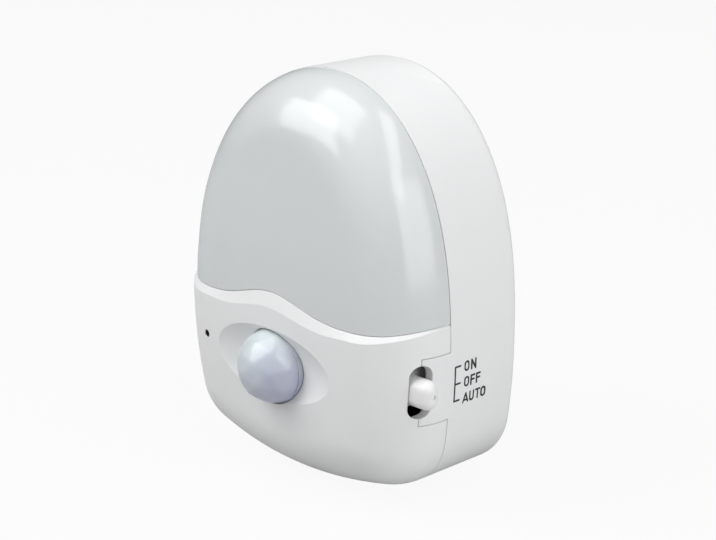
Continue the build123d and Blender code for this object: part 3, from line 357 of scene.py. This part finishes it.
# Metals: colour, roughness, lines per metre along each axis, depth of the lines in metres.
finishes |= {
    "pin": metal("pin_nickel", (0.74, 0.72, 0.68), 0.24, (9000, 500, 9000), 0.000004),
    "screw": metal("screw_zinc", (0.62, 0.62, 0.61), 0.3, (3000, 3000, 3000), 0.000006),
    "sensor_can": metal("sensor_can", (0.70, 0.68, 0.63), 0.3, (6000, 900, 6000), 0.000004),
    "switch_case": metal("switch_tinplate", (0.66, 0.66, 0.64), 0.28, (500, 6000, 6000), 0.000004),
    "contact": metal("contact_brass", (0.70, 0.47, 0.20), 0.25, (6000, 600, 6000), 0.000003),
}
# Circuit boards: colour of the solder mask, and of the mask over the tracks.
finishes |= {
    "board": circuit_board("board_green", (0.020, 0.10, 0.035), (0.05, 0.20, 0.07)),
    "led_board": circuit_board("board_white", (0.74, 0.74, 0.71), (0.66, 0.66, 0.62)),
}
for subpart in record["subparts"]:
    piece = nodes[subpart["node"]]
    piece.data.materials.clear()
    piece.data.materials.append(finishes[subpart["material_slot"]])


# ---------------------------------------------------------------- modelling helpers
def deselect_all():
    bpy.ops.object.select_all(action="DESELECT")


def pick(piece):
    """Makes piece the only selected one, and the active one."""
    deselect_all()
    piece.select_set(True)
    bpy.context.view_layer.objects.active = piece


def bake_place():
    """Puts the picked piece's place, turn and scale into its mesh."""
    bpy.ops.object.transform_apply(location=True, rotation=True, scale=True)


def edit_all():
    """Opens the picked piece for editing, with all of it selected."""
    bpy.ops.object.mode_set(mode="EDIT")
    bpy.ops.mesh.select_all(action="SELECT")


def end_edit():
    bpy.ops.object.mode_set(mode="OBJECT")


def settle(piece, name, slot, body):
    """Names a finished piece, gives it its finish and hands it to the frame."""
    pick(piece)
    bake_place()
    piece.name = name
    piece.data.name = name
    piece.data.materials.clear()
    piece.data.materials.append(finishes[slot])
    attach(piece, body)


def modify(piece, kind, **values):
    """Adds a modifier and applies it."""
    pick(piece)
    modifier = piece.modifiers.new(kind.lower(), kind)
    for key, value in values.items():
        setattr(modifier, key, value)
    bpy.ops.object.modifier_apply(modifier=modifier.name)


# ---------------------------------------------------------------- motion lens
lens_low, lens_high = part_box("pir_lens")
lens_centre = Vector(((lens_low[0] + lens_high[0]) / 2, 0, (lens_low[2] + lens_high[2]) / 2))
lens_tip = lens_low[1]
lens_back = lens_high[1]
lens_radius = 0.0097
lens_dome_height = 0.0095
lens_flange_radius = (lens_high[0] - lens_low[0]) / 2
lens_flange_thickness = 0.001
lens_rim = lens_tip + lens_dome_height
lens_seat = lens_back - lens_flange_thickness
lens_overlap = 0.0004
dome_radius = (lens_radius**2 + lens_dome_height**2) / (2 * lens_dome_height)
dome_centre = Vector((lens_centre.x, lens_tip + dome_radius, lens_centre.z))
facet_cut_percent = 33.4
facet_edge = 0.0005
facet_fullness = 0.35
facet_turn = (0.31, 0.22, 0.4)
crease_angle = radians(9)
ahead_of_lens = lens_rim - 0.03


def lens_disc(radius, front, back):
    """A solid disc about the lens's axis, between two places along Y."""
    deselect_all()
    bpy.ops.mesh.primitive_cylinder_add(
        vertices=96, radius=radius, depth=back - front,
        location=(lens_centre.x, (front + back) / 2, lens_centre.z), rotation=(pi / 2, 0, 0),
    )
    bake_place()
    return bpy.context.object


def combine(piece, operation, tool):
    """Cuts piece to tool or joins tool to it, and removes tool."""
    modify(piece, "BOOLEAN", operation=operation, object=tool, solver="EXACT")
    bpy.data.objects.remove(tool)


# Facets: a ball of flat hexagons and pentagons with narrow soft edges, part way to a round ball.
deselect_all()
bpy.ops.mesh.primitive_ico_sphere_add(subdivisions=2, radius=dome_radius, location=(0, 0, 0))
faceted_lens = bpy.context.object
edit_all()
bpy.ops.mesh.bevel(offset=facet_cut_percent, offset_type="PERCENT", affect="VERTICES", segments=1)
bpy.ops.mesh.select_all(action="SELECT")
bpy.ops.mesh.bevel(offset=facet_edge, affect="EDGES", segments=2)
end_edit()
modify(faceted_lens, "SUBSURF", subdivision_type="SIMPLE", levels=3)
modify(
    faceted_lens, "CAST", factor=facet_fullness, radius=0.0, size=dome_radius,
    use_radius_as_size=False,
)
faceted_lens.location = dome_centre
faceted_lens.rotation_euler = facet_turn
bake_place()
combine(faceted_lens, "INTERSECT", lens_disc(lens_radius, ahead_of_lens, lens_rim))

# Wall behind the dome, and the flange behind the cover.
combine(faceted_lens, "UNION", lens_disc(lens_radius, lens_rim - lens_overlap, lens_seat))
combine(faceted_lens, "UNION", lens_disc(lens_flange_radius, lens_seat, lens_back))
settle(faceted_lens, "faceted_lens", "lens", "case")
pick(faceted_lens)
bpy.ops.object.shade_smooth_by_angle(angle=crease_angle)
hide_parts("pir_lens")


# ---------------------------------------------------------------- print on the housing
# Places in the print are in millimetres: behind the parting line, and above the base.
millimetres = 1000
stroke_width = 0.00048
stroke_corner = stroke_width * 0.3
ink_height = 0.00003
base_height = cad_box[0][2]
parting = -0.0248
outside_wall = 0.0445


def bar(start, end):
    """A flat stroke with rounded corners between two places."""
    first, last = Vector(start) / millimetres, Vector(end) / millimetres
    along = last - first
    deselect_all()
    bpy.ops.mesh.primitive_plane_add(size=1, location=(0, 0, 0))
    stroke = bpy.context.object
    stroke.scale = (along.length + stroke_width, stroke_width, 1)
    bpy.ops.object.transform_apply(location=False, rotation=False, scale=True)
    edit_all()
    bpy.ops.mesh.bevel(offset=stroke_corner, affect="VERTICES", segments=3)
    end_edit()
    return stand_up(stroke, (first + last) / 2, along)


def stand_up(stroke, middle, along):
    """Turns a flat stroke drawn in X and Y so that it faces right, its middle in metres."""
    lie = Matrix(((0, 0, 1), (1, 0, 0), (0, 1, 0))).to_4x4()
    spin = Matrix.Rotation(atan2(along[1], along[0]), 4, "Z")
    place = Vector((outside_wall, parting + middle[0], base_height + middle[1]))
    stroke.matrix_world = Matrix.Translation(place) @ lie @ spin
    pick(stroke)
    bake_place()
    return stroke


def ring(left, right, low, high):
    """An oval stroke that fills those bounds."""
    across, up = (right - left) / millimetres, (high - low) / millimetres
    straight = up - across
    deselect_all()
    bpy.ops.mesh.primitive_circle_add(
        vertices=48, radius=0.5, fill_type="NOTHING", location=(0, 0, 0)
    )
    oval = bpy.context.object
    edit_all()
    bpy.ops.transform.resize(value=(across, across, 1))
    end_edit()
    for point in oval.data.vertices:
        point.co.y += straight / 2 if point.co.y > 0 else -straight / 2
    edit_all()
    bpy.ops.mesh.extrude_region_move()
    inner = ((across - 2 * stroke_width) / across, (up - 2 * stroke_width) / up, 1)
    bpy.ops.transform.resize(value=inner)
    bpy.ops.mesh.select_all(action="SELECT")
    bpy.ops.mesh.normals_make_consistent(inside=False)
    end_edit()
    middle = ((left + right) / 2 / millimetres, (low + high) / 2 / millimetres)
    return stand_up(oval, middle, (1, 0))


def printed(name, strokes):
    """Joins strokes into one mark and lays it on the housing's wall."""
    mark = strokes[0]
    deselect_all()
    for stroke in strokes:
        stroke.select_set(True)
    bpy.context.view_layer.objects.active = mark
    bpy.ops.object.join()
    edit_all()
    bpy.ops.mesh.quads_convert_to_tris()
    # Small faces follow the curve of the wall.
    for _ in range(2):
        bpy.ops.mesh.subdivide(number_cuts=1)
    end_edit()
    if sum(face.normal.x for face in mark.data.polygons) < 0:
        bpy.ops.object.mode_set(mode="EDIT")
        bpy.ops.mesh.flip_normals()
        end_edit()
    modify(
        mark, "SHRINKWRAP", target=nodes["rear_housing"], wrap_method="PROJECT",
        use_project_x=True, use_negative_direction=True, use_positive_direction=False,
        offset=ink_height,
    )
    modify(mark, "SOLIDIFY", thickness=ink_height * 2, offset=-1.0)
    settle(mark, name, "ink", "case")


cap_height = 2.72
half_stroke = stroke_width * millimetres / 2


def upright(x, low, high):
    """A vertical bar."""
    return bar((x, low), (x, high))


def level(left, right, height):
    """A horizontal bar."""
    return bar((left, height), (right, height))


def letter_f(baseline, stem, top_end, middle_end):
    """The three bars of an F, from its stem to the ends of its arms."""
    low, high = baseline + half_stroke, baseline + cap_height - half_stroke
    return [
        upright(stem, low, high),
        level(stem, top_end, high),
        level(stem, middle_end, baseline + cap_height * 0.52),
    ]


baseline = 35.1
low, high = baseline + half_stroke, baseline + cap_height - half_stroke
printed("mark_on", [
    ring(4.86, 6.66, baseline, baseline + cap_height),
    upright(7.45, low, high),
    bar((7.45, high), (8.85, low)),
    upright(8.85, low, high),
])

baseline = 31.05
printed("mark_off", [
    ring(4.96, 6.76, baseline, baseline + cap_height),
    *letter_f(baseline, 7.40, 8.55, 8.40),
    *letter_f(baseline, 9.40, 10.55, 10.40),
])

baseline = 26.8
low, high = baseline + half_stroke, baseline + cap_height - half_stroke
bowl_top, bowl_side = baseline + 0.75, baseline + 0.32
printed("mark_auto", [
    bar((4.95, low), (5.80, high)),
    bar((5.80, high), (6.65, low)),
    level(5.25, 6.35, baseline + cap_height * 0.28),
    upright(7.35, bowl_top, high),
    upright(8.60, bowl_top, high),
    bar((7.35, bowl_top), (7.62, bowl_side)),
    bar((7.62, bowl_side), (7.975, low)),
    bar((7.975, low), (8.33, bowl_side)),
    bar((8.33, bowl_side), (8.60, bowl_top)),
    level(9.40, 10.80, high),
    upright(10.10, low, high),
    ring(11.15, 13.0, baseline, baseline + cap_height),
])

bracket_back, bracket_tip = 1.68, 3.45
bracket_low, bracket_middle, bracket_high = 28.15, 32.55, 37.0
printed("mark_bracket", [
    upright(bracket_back, bracket_low, bracket_high),
    level(bracket_back, bracket_tip, bracket_high),
    level(bracket_back, bracket_tip, bracket_middle),
    level(bracket_back, bracket_tip, bracket_low),
])


# ---------------------------------------------------------------- stage and light
floor_height = -0.0502
floor_grey = 0.5
floor_glow_share = 0.93
room_light = 0.13
bpy.ops.mesh.primitive_plane_add(size=6, location=(0, 0, floor_height))
floor = bpy.context.object
floor.name = "floor"
floor_finish = bpy.data.materials.new("floor_white")
floor_finish.use_nodes = True
tree = floor_finish.node_tree
shader = tree.nodes["Principled BSDF"]
shader.inputs["Base Color"].default_value = (floor_grey, floor_grey, floor_grey, 1)
shader.inputs["Roughness"].default_value = 0.7
shader.inputs["Specular IOR Level"].default_value = 0.2
glow = tree.nodes.new("ShaderNodeEmission")
glow.inputs["Strength"].default_value = 1.0
rays = tree.nodes.new("ShaderNodeLightPath")
blend = tree.nodes.new("ShaderNodeMixShader")
seen = maths(tree, "MULTIPLY", rays.outputs["Is Camera Ray"], floor_glow_share)
tree.links.new(seen, blend.inputs[0])
tree.links.new(shader.outputs[0], blend.inputs[1])
tree.links.new(glow.outputs[0], blend.inputs[2])
tree.links.new(blend.outputs[0], tree.nodes["Material Output"].inputs["Surface"])
floor.data.materials.append(floor_finish)

world = bpy.data.worlds.new("studio")
bpy.context.scene.world = world
world.use_nodes = True
tree = world.node_tree
surround = tree.nodes["Background"]
surround.inputs["Color"].default_value = (1, 1, 1, 1)
rays = tree.nodes.new("ShaderNodeLightPath")
strength = maths(tree, "MAXIMUM", rays.outputs["Is Camera Ray"], room_light)
tree.links.new(strength, surround.inputs["Strength"])


def softbox(name, place, size, power, along=(1, 0, 0)):
    """A soft light that faces the origin; its width lies as near to along as it can."""
    bpy.ops.object.light_add(type="AREA", location=place)
    lamp = bpy.context.object
    lamp.name = name
    lamp.data.shape = "RECTANGLE"
    lamp.data.size, lamp.data.size_y = size
    lamp.data.energy = power
    facing = Vector(place).normalized()
    width = Vector(along)
    width = (width - width.dot(facing) * facing).normalized()
    lamp.rotation_euler = Matrix((width, facing.cross(width), facing)).transposed().to_euler()


softbox("overhead", (-0.15, -0.28, 0.75), (0.56, 0.66), 3.3)
softbox("right_strip", (0.456, 0.024, 0.656), (0.9, 0.2), 1.8, along=(0.58, -0.675, -0.45))
softbox("right_wide", (1.15, -0.02, 0.2), (1.0, 1.2), 9.7, along=(0, 1, 0))
softbox("front_left_high", (-1.0, -1.3, 1.3), (1.5, 1.3), 23.0)

bpy.context.scene.view_settings.view_transform = "Standard"
